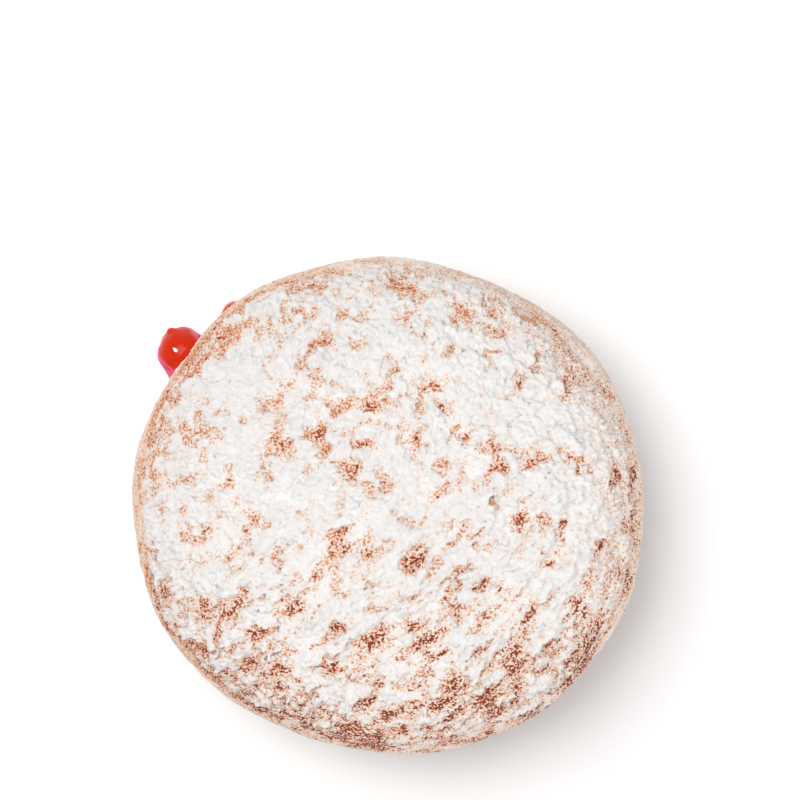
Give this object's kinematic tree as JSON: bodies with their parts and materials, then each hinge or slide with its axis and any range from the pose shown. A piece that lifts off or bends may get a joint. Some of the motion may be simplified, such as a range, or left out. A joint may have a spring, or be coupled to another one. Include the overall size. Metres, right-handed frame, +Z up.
{
  "type": "jelly filled doughnut",
  "caption": "Round yeast doughnut with a pale waist band, dusted with powdered sugar, and red jelly welling from a filling hole in its side.",
  "frame": {"origin": "on the table, under the middle of the doughnut's bounding box", "axes": "+Z up out of the crown, +X along the slightly longer way across, +Y to its left; the filling hole is 144 degrees round from +X towards +Y"},
  "size_m": [0.0898, 0.0874, 0.0381],
  "materials": {
    "sugared_dough": "matt powdered sugar over fried golden brown dough",
    "jelly": "wet, clear red fruit jelly"
  },
  "bodies": {
    "root": {"dough": "sugared_dough", "jelly": "jelly"}
  },
  "joints": []
}
